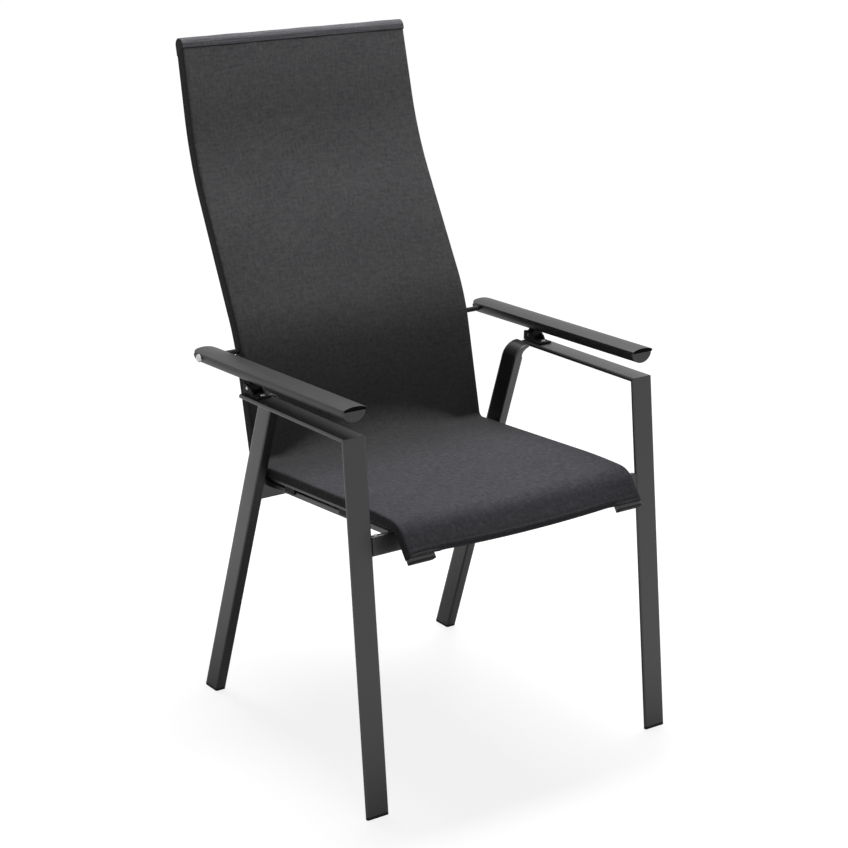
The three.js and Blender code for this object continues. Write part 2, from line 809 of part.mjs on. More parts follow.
function topBar() {
  const centre = backProfile.at(-1).point.clone().addScaledVector(headBack, backRailDepth);
  centre.addScaledVector(headUp, (backRailThickness - topBarHeight) / 2);
  const section = tubeSection(backRailThickness, topBarHeight, crossBarRadius, topBarHeight / 2 - seatGap);
  return crossBar(section, slingRailOuterFace - backTaper, centre, headBack, headUp);
}

add(back, 'back_top_bar', topBar(), framePaint);

function backSpreader() {
  const runs = backRuns.slice(0, 1);
  const lumbarLength = backSpreaderPlace - backLowerStraight;
  runs.push({ radius: lumbarRadius, turn: -lumbarLength / lumbarRadius, steps: 1 });
  const { point, angle } = trace(inSide(0, 0), backAngle, runs).at(-1);
  const away = heading(angle - Math.PI / 2);
  return spreader(point.addScaledVector(away, backRailDepth), heading(angle), away, backSpreaderBow);
}

add(back, 'back_spreader', backSpreader(), framePaint);

const earEnd = slingRailWidth / 2;
const forkEars = [[-earEnd, -earStart], [earStart, earEnd]];
addPair(back, 'back_hinge_fork', hingeBlock(backUp, backRailThickness, forkEars), greyPlastic);
const pinStart = slingRailOuterFace - slingRailWidth + seatGap;
const hingePin = cylinderAlongX(hingePinDiameter, pinStart, slingRailOuterFace - seatGap, hinge.y, hinge.z);
addPair(back, 'hinge_pin', hingePin, stainless);

// Armrest pivot: a bolt through the armrest and a spacer into the back rail
const armInnerFace = armCentre - armRailWidth / 2;
const capOuterFace = armCentre + capWidth / 2;

function pivotSpacer() {
  const start = slingRailOuterFace + seatGap;
  const end = armInnerFace - seatGap;
  const sleeve = cylinderAlongX(pivotSpacerDiameter, start, end, pivot.y, pivot.z);
  return cut(sleeve, cylinderAlongX(pivotHole, start - overrun, end + overrun, pivot.y, pivot.z));
}

addPair(back, 'armrest_spacer', pivotSpacer(), blackPlastic);

function pivotBolt() {
  const head = pivotHeadDiameter / 2;
  const shank = pivotBoltDiameter / 2;
  const headStart = capOuterFace + seatGap;
  const profile = new THREE.Path();
  const tip = slingRailOuterFace - pivotBoltGrip;
  profile.moveTo(0, tip);
  profile.lineTo(shank, tip);
  profile.lineTo(shank, headStart);
  profile.lineTo(head, headStart);
  profile.quadraticCurveTo(head, headStart + pivotHeadHeight, 0, headStart + pivotHeadHeight);
  const points = profile.getPoints(cornerSteps);
  points.at(-1).x = 0;
  return new THREE.LatheGeometry(points, roundSteps).rotateZ(-Math.PI / 2).translate(0, pivot.y, pivot.z);
}

addPair(back, 'armrest_pivot_bolt', pivotBolt(), stainless);

// Sling: one surface over the rails, split at the crease between seat and back
const creaseTangent = 1 / Math.tan(cornerHalfAngle);
const creaseTurn = Math.PI / 2 - cornerHalfAngle;

// Rows of the sling from the crease outward; they stand where the rails' own stations are
function slingRows(profile, awaySide, radius, hem) {
  const { angle } = profile[0];
  const tangentPoint = heading(angle).multiplyScalar(radius * creaseTangent);
  const away = heading(angle + (Math.PI / 2) * awaySide);
  const centre = tangentPoint.clone().addScaledVector(away, -radius);
  const widestTurn = creaseTurn - runningGap / radius;
  const rows = [];
  for (let i = 0; i <= bendSteps; i += 1) {
    const normal = heading(angle + (Math.PI / 2 + widestTurn * (1 - i / bendSteps)) * awaySide);
    rows.push({ point: centre.clone().addScaledVector(normal, radius), normal });
  }
  profile.slice(1).forEach((stop, i) => {
    const before = profile[i];
    const from = i === 0 ? tangentPoint : before.point;
    const pieces = Math.ceil(before.point.distanceTo(stop.point) / slingRowSpacing);
    for (let k = 1; k <= pieces; k += 1) {
      const at = THREE.MathUtils.lerp(before.angle, stop.angle, k / pieces);
      const normal = heading(at + (Math.PI / 2) * awaySide);
      rows.push({ point: from.clone().lerp(stop.point, k / pieces), normal });
    }
  });
  return rows.concat(hem);
}

function topHemRows() {
  const centre = backProfile.at(-1).point.clone().addScaledVector(headBack, backRailDepth);
  const rows = [];
  for (let i = 1; i <= roundSteps / 2; i += 1) {
    const turn = (Math.PI * i) / (roundSteps / 2);
    const outward = headBack.clone().multiplyScalar(-Math.cos(turn)).addScaledVector(headUp, Math.sin(turn));
    rows.push({ point: centre.clone().addScaledVector(outward, backRailDepth), normal: outward.negate() });
  }
  const { point, normal } = rows.at(-1);
  rows.push({ point: point.clone().addScaledVector(headUp, -topHem), normal });
  return rows;
}

// Across the sling: flat over each rail, and sagging between the rails
const railShare = 1 - 2 / slingAcrossSteps;

function slingSheet(profile, awaySide, hem, sag) {
  const last = slingRows(profile, awaySide, creaseEdgeRadius, hem).length - 1;
  const openHalf = slingRailOuterFace - slingRailWidth - runningGap;
  const geometry = new THREE.BoxGeometry(1, 1, 1, slingAcrossSteps, 1, last);
  const place = geometry.attributes.position;
  for (let i = 0; i < place.count; i += 1) {
    const across = 2 * place.getX(i);
    const openShare = Math.min(Math.abs(across) / railShare, 1);
    const middle = 1 - openShare * openShare;
    const radius = THREE.MathUtils.lerp(creaseEdgeRadius, creaseMiddleRadius, middle);
    const row = Math.round((place.getZ(i) + 1 / 2) * last);
    const { point, normal } = slingRows(profile, awaySide, radius, hem)[row];
    const half = Math.abs(across) > railShare ? slingRailOuterFace - slingEdgeInset : openHalf;
    const x = openShare * (half - narrowing(point.z));
    const share = Math.min(row / (last - hem.length), 1);
    const depth = (1 / 2 - place.getY(i)) * slingThickness + sag * middle * Math.sin(Math.PI * share) ** 2;
    place.setXYZ(i, Math.sign(across) * x, point.y + normal.y * depth, point.z + normal.z * depth);
  }
  return facingOut(geometry);
}

add(seat, 'sling_seat', slingSheet(seatProfile, 1, [], seatSag), slingCloth);
add(back, 'sling_back', slingSheet(backProfile, -1, topHemRows(), backSag), slingCloth);

// Armrests, in a frame at the pivot whose Y runs along the armrest

function armrestCap() {
  const length = armFrontReach + armRearReach;
  const section = new THREE.Shape();
  section.moveTo(-capWidth / 2, 0);
  section.lineTo(capWidth / 2, 0);
  section.lineTo(capWidth / 2, capEdge);
  section.quadraticCurveTo(0, 2 * capThickness - capEdge, -capWidth / 2, capEdge);
  section.closePath();
  const plan = roundedSection(capWidth, length, capFrontRadius, capRearRadius);
  const outline = new THREE.ExtrudeGeometry(plan, {
    depth: capThickness + 2 * overrun,
    curveSegments: bendSteps,
    bevelEnabled: false,
  });
  const bottom = pivotBelowRailTop + seatGap;
  outline.translate(0, (armRearReach - armFrontReach) / 2, bottom - overrun);
  const crowned = alongArm(section, -armFrontReach, armRearReach).translate(0, 0, seatGap);
  return geometryOf(solidOf(crowned).intersect(solidOf(outline)));
}

function ellipsePoint(radiusX, radiusY, angle, y) {
  return [radiusX * Math.cos(angle), y + radiusY * Math.sin(angle)];
}

function halfRound(radiusX, radiusY, y) {
  const shape = new THREE.Shape();
  shape.moveTo(-radiusX, y);
  shape.absellipse(0, y, radiusX, radiusY, Math.PI, 2 * Math.PI);
  shape.closePath();
  return shape;
}

const railRadiusX = armRailWidth / 2;
const boreRadiusX = railRadiusX - armRailWall;
const boreRadiusY = armRailDepth - 2 * armRailWall;
const boreTop = -armRailWall;

function armRailSection() {
  const outer = Math.acos(armSlotWidth / armRailWidth);
  const inner = Math.acos(armSlotWidth / 2 / boreRadiusX);
  const shape = new THREE.Shape();
  shape.moveTo(...ellipsePoint(railRadiusX, armRailDepth, -outer, 0));
  shape.absellipse(0, 0, railRadiusX, armRailDepth, -outer, 0);
  shape.lineTo(-railRadiusX, 0);
  shape.absellipse(0, 0, railRadiusX, armRailDepth, Math.PI, Math.PI + outer);
  shape.lineTo(...ellipsePoint(boreRadiusX, boreRadiusY, Math.PI + inner, boreTop));
  shape.absellipse(0, boreTop, boreRadiusX, boreRadiusY, Math.PI + inner, Math.PI, true);
  shape.lineTo(boreRadiusX, boreTop);
  shape.absellipse(0, boreTop, boreRadiusX, boreRadiusY, 0, -inner, true);
  shape.closePath();
  return shape;
}

function alongArm(section, fromY, toY) {
  const geometry = new THREE.ExtrudeGeometry(section, {
    depth: toY - fromY,
    curveSegments: roundSteps / 2,
    bevelEnabled: false,
  });
  const laid = geometry.applyMatrix4(new THREE.Matrix4().makeBasis(sideways, upwards, rearwards));
  return facingOut(laid.translate(0, fromY, pivotBelowRailTop));
}

const armRailFront = armRailInset + plugFlange + seatGap - armFrontReach;
const armRailRear = armRearReach - armRailInset - plugFlange - seatGap;

function armrestRail() {
  const rail = alongArm(armRailSection(), armRailFront, armRailRear);
  return cut(rail, cylinderAlongX(pivotHole, -armRailWidth, armRailWidth, 0, 0));
}

function armrestPlug(faceY, inward) {
  const flange = alongArm(
    halfRound(railRadiusX, armRailDepth, 0),
    Math.min(faceY, faceY + inward * plugFlange),
    Math.max(faceY, faceY + inward * plugFlange),
  );
  const start = faceY + (inward * plugFlange) / 2;
  const end = faceY + inward * (plugFlange + plugDepth / 2);
  const spigot = alongArm(
    halfRound(boreRadiusX - seatGap, boreRadiusY - seatGap, boreTop - seatGap),
    Math.min(start, end),
    Math.max(start, end),
  );
  return joined(flange, spigot);
}

const armFront = armRailInset - armFrontReach;
const armRear = armRearReach - armRailInset;
const armPieces = [
  ['armrest_cap', armrestCap(), framePaint],
  ['armrest_rail', armrestRail(), framePaint],
  ['armrest_front_plug', armrestPlug(armFront, 1), greyPlastic],
  ['armrest_rear_plug', armrestPlug(armRear, -1), blackPlastic],
];

// Guides, in frames at the swivel axle
const cheekOuter = guideWidth / 2;
const cheekInner = cheekOuter - guideCheek;

function cheekOutline() {
  const foot = seatGap - guideAxleHeight;
  const crownY = guideRearReach - guideWebThickness;
  const crownZ = guideHeight - guideAxleHeight;
  const shape = new THREE.Shape();
  shape.moveTo(guideRearReach, foot);
  shape.lineTo(guideRearReach, guideRearHeight - guideAxleHeight);
  shape.quadraticCurveTo(guideRearReach, crownZ, crownY, crownZ);
  shape.absellipse(crownY, foot, crownY + guideFrontReach, crownZ - foot, Math.PI / 2, Math.PI);
  shape.closePath();
  return shape;
}

function guideCheekPlate(fromX) {
  const geometry = new THREE.ExtrudeGeometry(cheekOutline(), {
    depth: guideCheek,
    curveSegments: roundSteps / 2,
    bevelEnabled: false,
  });
  const turned = geometry.applyMatrix4(new THREE.Matrix4().makeBasis(rearwards, upwards, sideways));
  return turned.translate(fromX, 0, 0);
}

function guideBase() {
  const foot = seatGap - guideAxleHeight;
  const webRear = guideRearReach - guideWebThickness;
  const toe = box(
    -cheekOuter,
    cheekOuter,
    -guideToeReach,
    guideWebThickness - guideFrontReach + overrun,
    foot,
    foot + guideToeThickness,
  );
  const web = box(-cheekOuter, cheekOuter, webRear, guideRearReach, foot, foot + guideWebHeight);
  const whole = joined(guideCheekPlate(-cheekOuter), guideCheekPlate(cheekInner), toe, web);
  const axleHole = cylinderAlongX(guideAxleDiameter + seatGap, -guideWidth, guideWidth, 0, 0);
  const screwHole = guideScrewHole.clone().translate(0, -guideScrewPlace, foot);
  return cut(whole, axleHole, screwHole);
}

function guideScrew() {
  const seatHeight = seatGap - guideAxleHeight + guideToeThickness;
  return screw(screwLength).translate(0, -guideScrewPlace, seatHeight);
}

const guideAxle = cylinderAlongX(guideAxleDiameter, -cheekOuter, cheekOuter, 0, 0);

// The shoe's round back bears on the armrest rail, and its key runs inside the rail's slot
const seatedPivot = pivot.clone().add(corner);
const shoeRadius = armAboveAxle - seatGap;

function guideShoe() {
  const halfWidth = cheekInner - seatGap;
  const round = cylinderAlongX(2 * shoeRadius, -halfWidth, halfWidth, 0, 0);
  const keyShare = guideKeyWidth / 2 / boreRadiusX;
  const keyFloor = armRailDepth + boreTop - boreRadiusY * Math.sqrt(1 - keyShare * keyShare);
  const keyBottom = armAboveAxle + keyFloor + guideKeyLift;
  const neck = box(
    -guideNeckWidth / 2,
    guideNeckWidth / 2,
    -guideNeckLength / 2,
    guideNeckLength / 2,
    shoeRadius / 2,
    keyBottom + guideKeyThickness / 2,
  );
  const key = box(
    -guideKeyWidth / 2,
    guideKeyWidth / 2,
    -guideNeckLength / 2,
    guideNeckLength / 2,
    keyBottom,
    keyBottom + guideKeyThickness,
  );
  const hole = cylinderAlongX(guideAxleDiameter + 2 * seatGap, -guideWidth, guideWidth, 0, 0);
  return cut(joined(round, neck, key), hole);
}

for (const [side, sign] of [['left', 1], ['right', -1]]) {
  const x = sign * armCentre;
  const arm = group(chair, x, seatedPivot.y, seatedPivot.z, -armFall);
  for (const [name, geometry, material] of armPieces) {
    add(arm, `${name}_${side}`, geometry, material);
  }
  const base = group(frame, x, guideAxleAt.y, guideAxleAt.z, -topRailFall);
  add(base, `guide_base_${side}`, guideBase(), blackPlastic);
  add(base, `guide_screw_${side}`, guideScrew(), stainless);
  add(base, `guide_axle_${side}`, guideAxle, stainless);
  const swivel = group(chair, x, guideAxleAt.y, guideAxleAt.z, -armFall);
  add(swivel, `guide_shoe_${side}`, guideShoe(), blackPlastic);
}

// The origin lies on the floor under the middle of the chair
chair.updateMatrixWorld(true);
const extent = new THREE.Box3().setFromObject(chair, true);
chair.position.y = -(extent.min.y + extent.max.y) / 2;

export default chair;
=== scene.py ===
import json
import math

import bpy
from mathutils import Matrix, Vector


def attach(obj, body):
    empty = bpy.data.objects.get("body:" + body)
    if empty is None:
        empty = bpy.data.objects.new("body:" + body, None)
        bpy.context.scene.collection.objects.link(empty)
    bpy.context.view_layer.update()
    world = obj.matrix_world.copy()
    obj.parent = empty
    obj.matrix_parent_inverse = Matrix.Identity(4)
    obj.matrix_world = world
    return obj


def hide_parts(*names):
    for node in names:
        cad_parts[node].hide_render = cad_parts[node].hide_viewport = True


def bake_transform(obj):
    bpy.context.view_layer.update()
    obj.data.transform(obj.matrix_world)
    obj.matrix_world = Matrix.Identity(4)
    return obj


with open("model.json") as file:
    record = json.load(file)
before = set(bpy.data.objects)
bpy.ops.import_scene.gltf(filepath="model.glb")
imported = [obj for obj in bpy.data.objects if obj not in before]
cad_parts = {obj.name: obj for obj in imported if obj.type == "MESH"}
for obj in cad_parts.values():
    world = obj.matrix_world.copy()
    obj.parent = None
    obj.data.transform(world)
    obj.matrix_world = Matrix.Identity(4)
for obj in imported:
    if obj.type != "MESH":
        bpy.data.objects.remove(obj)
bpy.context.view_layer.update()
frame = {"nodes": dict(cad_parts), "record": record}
scene = bpy.context.scene
print("frame loaded")


# Shader maths: a socket that can be added, multiplied and compared
class Value:
    def __init__(self, paint, socket):
        self.paint = paint
        self.socket = socket

    def calc(self, operation, *others):
        inputs = {0: self}
        for place, other in enumerate(others, 1):
            inputs[place] = other
        return self.paint.node("ShaderNodeMath", {"operation": operation}, inputs)

    def __add__(self, other):
        return self.calc("ADD", other)

    __radd__ = __add__

    def __mul__(self, other):
        return self.calc("MULTIPLY", other)

    __rmul__ = __mul__

    def __sub__(self, other):
        return self.calc("SUBTRACT", other)

    def __rsub__(self, other):
        return self.paint.node("ShaderNodeMath", {"operation": "SUBTRACT"}, {0: other, 1: self})

    def __gt__(self, other):
        return self.calc("GREATER_THAN", other)

    def __lt__(self, other):
        return self.calc("LESS_THAN", other)

    def __abs__(self):
        return self.calc("ABSOLUTE")


class Paint:
    def __init__(self, name, shader="ShaderNodeBsdfPrincipled", world=None):
        self.holder = world or bpy.data.materials.new(name)
        self.holder.use_nodes = True
        self.tree = self.holder.node_tree
        self.tree.nodes.clear()
        kind = "ShaderNodeOutputWorld" if world else "ShaderNodeOutputMaterial"
        self.output = self.tree.nodes.new(kind)
        self.shader = self.tree.nodes.new(shader)
        self.tree.links.new(self.shader.outputs[0], self.output.inputs["Surface"])

    def node(self, kind, settings=None, inputs=None, output=0):
        item = self.tree.nodes.new(kind)
        for key, value in (settings or {}).items():
            if key == "stops":
                ramp = item.color_ramp
                while len(ramp.elements) < len(value):
                    ramp.elements.new(0.5)
                for stop, (place, grey) in zip(ramp.elements, value):
                    stop.position = place
                    stop.color = (grey, grey, grey, 1)
            else:
                setattr(item, key, value)
        for key, value in (inputs or {}).items():
            self.plug(item.inputs[key], value)
        return Value(self, item.outputs[output])

    def plug(self, socket, value):
        if isinstance(value, Value):
            self.tree.links.new(value.socket, socket)
        else:
            socket.default_value = value

    def feed(self, **inputs):
        for key, value in inputs.items():
            self.plug(self.shader.inputs[key.replace("_", " ")], value)

    def coordinates(self, kind):
        return self.node("ShaderNodeTexCoord", output=kind)

    def attribute(self, name):
        return self.node("ShaderNodeAttribute", {"attribute_name": name}, output="Vector")

    def stretched(self, vector, scale):
        return self.node("ShaderNodeVectorMath", {"operation": "MULTIPLY"}, {0: vector, 1: scale})

    def split(self, vector):
        item = self.tree.nodes.new("ShaderNodeSeparateXYZ")
        self.plug(item.inputs[0], vector)
        return [Value(self, socket) for socket in item.outputs]

    def noise(self, vector, scale, detail=3.0, roughness=0.5):
        inputs = {"Vector": vector, "Scale": scale, "Detail": detail, "Roughness": roughness}
        return self.node("ShaderNodeTexNoise", None, inputs)

    def mixed(self, factor, first, second):
        inputs = {0: factor, 6: first, 7: second}
        return self.node("ShaderNodeMix", {"data_type": "RGBA"}, inputs, 2)

    def ramp(self, value, *stops):
        return self.node("ShaderNodeValToRGB", {"stops": stops}, {0: value})

    def spread(self, value, ends, near, far, kind="LINEAR"):
        inputs = {"Value": value, "From Min": ends[0], "From Max": ends[1]}
        inputs.update({"To Min": near, "To Max": far})
        return self.node("ShaderNodeMapRange", {"interpolation_type": kind}, inputs)

    def sharpRays(self):
        # rays from the camera, and those together with mirrored and passed ones
        item = self.tree.nodes.new("ShaderNodeLightPath")
        camera = Value(self, item.outputs["Is Camera Ray"])
        sharp = camera
        for kind in ("Is Glossy Ray", "Is Transmission Ray"):
            sharp = sharp.calc("MAXIMUM", Value(self, item.outputs[kind]))
        return camera, sharp

    def bump(self, height, strength, distance):
        inputs = {"Height": height, "Strength": strength, "Distance": distance}
        return self.node("ShaderNodeBump", None, inputs)


def grey(level):
    # an sRGB level out of 255
    value = level / 255
    linear = value / 12.92 if value < 0.04045 else ((value + 0.055) / 1.055) ** 2.4
    return (linear, linear, linear, 1)


# Cloth. Places along it are metres from the front hem; the crease is at about 0.43
clothLook = {
    "thread": (0.027, 0.0265, 0.0285, 1),
    "lightThread": (0.084, 0.083, 0.086, 1),
    # the seat's thread colour is painted shade and a painted violet reflection on the back's thread
    # colour
    "seatShadedTintThread": (0.067, 0.0645, 0.0775, 1),
    "paleThread": (0.15, 0.145, 0.166, 1),
    "shadeThread": (0.013, 0.0128, 0.0138, 1),
    "warpScale": (240, 60, 0),
    "weftScale": (60, 240, 0),
    "fleckScale": (190, 190, 0),
    "cloudScale": 11,
    "mottleScale": 115,
    "mottle": 0.04,
    "seatMottle": 0.16,
    "seatEnds": (0.27, 0.4),
    "creaseShade": 0.7,
    "creaseStarts": (0.25, 0.41),
    "creaseEnds": (0.48, 0.68),
    "edgeShade": 0.85,
    "edgeTurn": (0.5, 0.9),
    "weavePitch": 0.0011,
    "roughness": 0.75,
    "folds": 0.0,
    "foldScale": (9, 420, 0),
}
stitchLook = {
    "halfWidth": 0.0009,
    "pitch": 0.0034,
    # the furrow colour is painted shade in the stitched groove
    "furrow": (0.012, 0.012, 0.014, 1),
    "yarn": (0.07, 0.07, 0.078, 1),
}
hemLines = (0.0055, 0.0135)


def makeCloth(name, look, stitches=()):
    paint = Paint(name)
    cloth = paint.attribute("cloth")
    across, along, hemPlace = paint.split(cloth)
    warp = paint.noise(paint.stretched(cloth, look["warpScale"]), 1, 3, 0.6)
    weft = paint.noise(paint.stretched(cloth, look["weftScale"]), 1, 3, 0.6)
    fleck = paint.noise(paint.stretched(cloth, look["fleckScale"]), 1, 3, 0.7)
    cloud = paint.noise(cloth, look["cloudScale"], 3)
    slubs = warp * 0.28 + weft * 0.28 + fleck * 0.34 + cloud * 0.1
    heather = paint.ramp(slubs, (0.38, 0), (0.62, 1))
    turns = 2 * math.pi / look["weavePitch"]
    weave = (across * turns).calc("SINE") * (along * turns).calc("SINE") * 0.5 + 0.5
    # painted shade and painted reflection: the seat's threads are a darker, violet-tinted copy of
    # the back's, standing in for how the light falls on the seat and the violet it reflects; the
    # back's are neutral
    seatShare = paint.spread(along, look["seatEnds"], 1.0, 0.0)
    lightThread = paint.mixed(seatShare, look["lightThread"], look["seatShadedTintThread"])
    colour = paint.mixed(heather * 0.75 + weave * 0.25, look["thread"], lightThread)
    # painted shade in the crease and up the low back, beyond what the light gives
    rise = paint.spread(along, look["creaseStarts"], 0.0, look["creaseShade"], "SMOOTHSTEP")
    fall = paint.spread(along, look["creaseEnds"], 1.0, 0.0, "SMOOTHSTEP")
    colour = paint.mixed(rise * fall, colour, look["shadeThread"])
    # and painted shade where the cloth turns round the rails
    sideways = abs(paint.split(paint.coordinates("Normal"))[0])
    turned = paint.spread(sideways, look["edgeTurn"], 0.0, look["edgeShade"], "SMOOTHSTEP")
    colour = paint.mixed(turned, colour, look["shadeThread"])
    mottle = paint.ramp(paint.noise(cloth, look["mottleScale"], 2, 0.6), (0.48, 0), (0.7, 1))
    mottleShare = seatShare * look["seatMottle"] + look["mottle"]
    colour = paint.mixed(mottle * mottleShare, colour, look["paleThread"])
    height = weave * 0.5 + heather * 0.5
    if look["folds"]:
        # long soft pulls along a hem
        pulls = paint.noise(paint.stretched(cloth, look["foldScale"]), 1, 3, 0.6)
        pulls = paint.ramp(pulls, (0.4, 0), (0.62, 1))
        colour = paint.mixed(pulls * look["folds"], colour, look["lightThread"])
        height = height + pulls * 1.5
    for place in stitches:
        # a sewn line: a shallow furrow, painted dark as shade in the groove, with separate thread
        # marks in it
        furrow = abs(hemPlace - place) < stitchLook["halfWidth"]
        dash = (across * (2 * math.pi / stitchLook["pitch"])).calc("SINE") > -0.2
        colour = paint.mixed(furrow * 0.62, colour, stitchLook["furrow"])
        colour = paint.mixed(furrow * dash * 0.4, colour, stitchLook["yarn"])
        height = height - furrow * 0.8 + furrow * dash * 0.6
    paint.feed(
        Base_Color=colour,
        Roughness=look["roughness"] + 0.1 * (1 - heather),
        Normal=paint.bump(height, 0.35, 0.00035),
        Specular_IOR_Level=0.25,
    )
    return paint.holder


# Powder coat and plastics
coatLook = {"base": grey(14), "worn": grey(27), "roughness": 0.3, "grain": 1500, "shine": 0.85}
armLook = dict(coatLook, base=grey(11), roughness=0.36, shine=0.62)
blackLook = {"base": grey(6), "worn": grey(14), "roughness": 0.55, "grain": 900, "shine": 0.3}
greyLook = {"base": grey(60), "worn": grey(84), "roughness": 0.45, "grain": 900, "shine": 0.5}
plugLook = dict(greyLook, base=grey(92), worn=grey(128))
lineScale = (1500, 8, 8)
bareLook = {"dark": grey(3), "light": grey(12), "roughness": 0.85, "shine": 0.1, "depth": 0.0007}


def bareFront(paint, mottle, isBare):
    # the cut end of a cap: a second, dark and dull shader
    bare = paint.tree.nodes.new("ShaderNodeBsdfPrincipled")
    paint.plug(bare.inputs["Base Color"], paint.mixed(mottle, bareLook["dark"], bareLook["light"]))
    paint.plug(bare.inputs["Roughness"], bareLook["roughness"])
    paint.plug(bare.inputs["Specular IOR Level"], bareLook["shine"])
    ends = paint.tree.nodes.new("ShaderNodeMixShader")
    paint.plug(ends.inputs[0], isBare)
    paint.tree.links.new(paint.shader.outputs[0], ends.inputs[1])
    paint.tree.links.new(bare.outputs[0], ends.inputs[2])
    paint.tree.links.new(ends.outputs[0], paint.output.inputs["Surface"])


def makeCoat(name, look, streaks=0.0, darkFront=None):
    # a fine orange peel, a faint dusty mottle, and drawn lines where asked
    paint = Paint(name)
    place = paint.coordinates("Object")
    peel = paint.noise(place, look["grain"], 2)
    mottle = paint.noise(place, 14, 4, 0.6)
    dust = paint.ramp(mottle, (0.35, 0), (0.7, 1)) * 0.35
    colour = paint.mixed(dust, look["base"], look["worn"])
    rough = look["roughness"] + 0.1 * mottle + 0.06 * peel
    height = peel
    if streaks:
        lines = paint.noise(paint.stretched(place, lineScale), 1, 3, 0.6)
        drawn = paint.ramp(lines, (0.4, 0), (0.62, 1)) * streaks
        colour = paint.mixed(drawn, colour, look["worn"])
        rough = rough + 0.14 * lines
        height = peel * 0.5 + lines * 0.5
    if darkFront is not None:
        bareFront(paint, mottle, paint.split(place)[1] < darkFront)
    paint.feed(
        Base_Color=colour,
        Roughness=rough,
        Normal=paint.bump(height, 0.18, 0.00025),
        Specular_IOR_Level=look["shine"],
    )
    return paint.holder


steelLook = {
    "base": grey(205),
    "dull": grey(168),
    "roughness": 0.22,
    "lineScale": (300, 2600, 2600),
}


def makeSteel(name, look):
    paint = Paint(name)
    place = paint.coordinates("Object")
    lines = paint.noise(paint.stretched(place, look["lineScale"]), 1, 3, 0.6)
    spots = paint.noise(place, 420, 3)
    paint.feed(
        Base_Color=paint.mixed(spots * 0.6, look["base"], look["dull"]),
        Roughness=look["roughness"] + 0.2 * lines,
        Normal=paint.bump(lines, 0.1, 0.0001),
        Metallic=1.0,
    )
    return paint.holder


capVertices = frame["nodes"]["armrest_cap_left"].data.vertices
capFront = min(vertex.co.y for vertex in capVertices) + bareLook["depth"]
clothMaterial = makeCloth("slingCloth", clothLook, stitches=hemLines)

# the finish and the softened edge's width of each material slot, then the nodes that differ
slotFinishes = {
    "frame_paint": (makeCoat("powderCoat", coatLook), 0.0005),
    "black_plastic": (makeCoat("blackPlastic", blackLook), 0.0003),
    "grey_plastic": (makeCoat("greyPlastic", greyLook), 0.0003),
    "stainless": (makeSteel("stainless", steelLook), 0.0002),
}
specialMaterials = {
    "armrest_cap": makeCoat("armrestCapCoat", armLook, streaks=0.8, darkFront=capFront),
    "armrest_rail": makeCoat("armrestRailCoat", armLook, streaks=0.5),
    "armrest_front_plug": makeCoat("plugPlastic", plugLook, streaks=0.7),
}
print("materials made")


def finishNode(node, material, edge):
    item = frame["nodes"][node]
    item.data.materials.clear()
    item.data.materials.append(material)
    weld = item.modifiers.new("weld", "WELD")
    weld.merge_threshold = 0.00002
    flat = item.modifiers.new("flat", "DECIMATE")
    flat.decimate_type = "DISSOLVE"
    flat.angle_limit = math.radians(0.8)
    bevel = item.modifiers.new("bevel", "BEVEL")
    bevel.width = edge
    bevel.segments = 2
    bevel.limit_method = "ANGLE"
    bevel.angle_limit = math.radians(38)
    bevel.harden_normals = False
    for face in item.data.polygons:
        face.use_smooth = True
    weighted = item.modifiers.new("weighted", "WEIGHTED_NORMAL")
    weighted.keep_sharp = False


for part in frame["record"]["subparts"]:
    if part["material_slot"] in slotFinishes:
        material, edge = slotFinishes[part["material_slot"]]
        for start, special in specialMaterials.items():
            if part["node"].startswith(start):
                material = special
        finishNode(part["node"], material, edge)
print("CAD nodes finished")


# The sling: one cloth from the front hem, round the crease, to the top of the back
sling = {
    "cornerY": 0.0803424,
    "cornerZ": 0.4255,
    "seatSlope": 4.3,
    "seatStraight": 0.2637,
    "crownRadius": 1.27,
    "bendRadius": 0.042,
    "bendTurn": 52,
    "drop": 0.036,
    "curl": 0.012,
    "curlTurn": 62,
    "frontBelly": 0.005,
    "backLean": 15.2,
    "lowerStraight": 0.1599,
    "lumbarRadius": 0.354,
    "lumbarTurn": 14,
    "middleStraight": 0.1814,
    "neckRadius": 0.558,
    "neckTurn": 14,
    "headStraight": 0.1145,
    "taper": 0.0095,
    "creaseEdge": 0.009,
    "creaseMiddle": 0.068,
    "halfWidth": 0.2277,
    "railInner": 0.1801,
    "edgeRadius": 0.0042,
    "seatSag": 0.005,
    "backSag": 0.004,
    "seatWrap": 0.0158,
    "backWrap": 0.0197,
    "thickness": 0.0011,
    "hemFurrow": 0.0007,
    "furrowWidth": 0.0011,
    "furrowInset": 0.006,
    "sleeveStart": 0.47,
    "sleeveBlend": 0.05,
    "sleeveReach": 0.046,
    "flatReach": 0.0003,
    "rollIn": 0.0008,
    "tuck": 0.0002,
    "curlEdge": 0.02,
    "dropTrim": 0.002,
    "creaseSteps": 16,
    "sleeveSteps": 6,
}
lumbarStops = (22, 14)


def heading(degrees):
    turn = math.radians(degrees)
    return Vector((0, math.cos(turn), math.sin(turn)))


def smooth(value):
    value = min(max(value, 0), 1)
    return value * value * (3 - 2 * value)


def followRuns(point, angle, runs):
    # a straight run is (length, steps); a turning run is (radius, degrees, steps)
    stops = [(point.copy(), angle)]
    for run in runs:
        point, angle = stops[-1]
        if len(run) == 2:
            length, steps = run
            for i in range(1, steps + 1):
                stops.append((point + heading(angle) * (length * i / steps), angle))
        else:
            radius, turn, steps = run
            side = math.copysign(radius, turn)
            centre = point + heading(angle + 90) * side
            for i in range(1, steps + 1):
                at = angle + turn * i / steps
                stops.append((centre - heading(at + 90) * side, at))
    return stops


seatHeading = 180 - sling["seatSlope"]
backHeading = 90 - sling["backLean"]
slingCorner = Vector((0, sling["cornerY"], sling["cornerZ"]))
creaseHalf = math.radians(seatHeading - backHeading) / 2


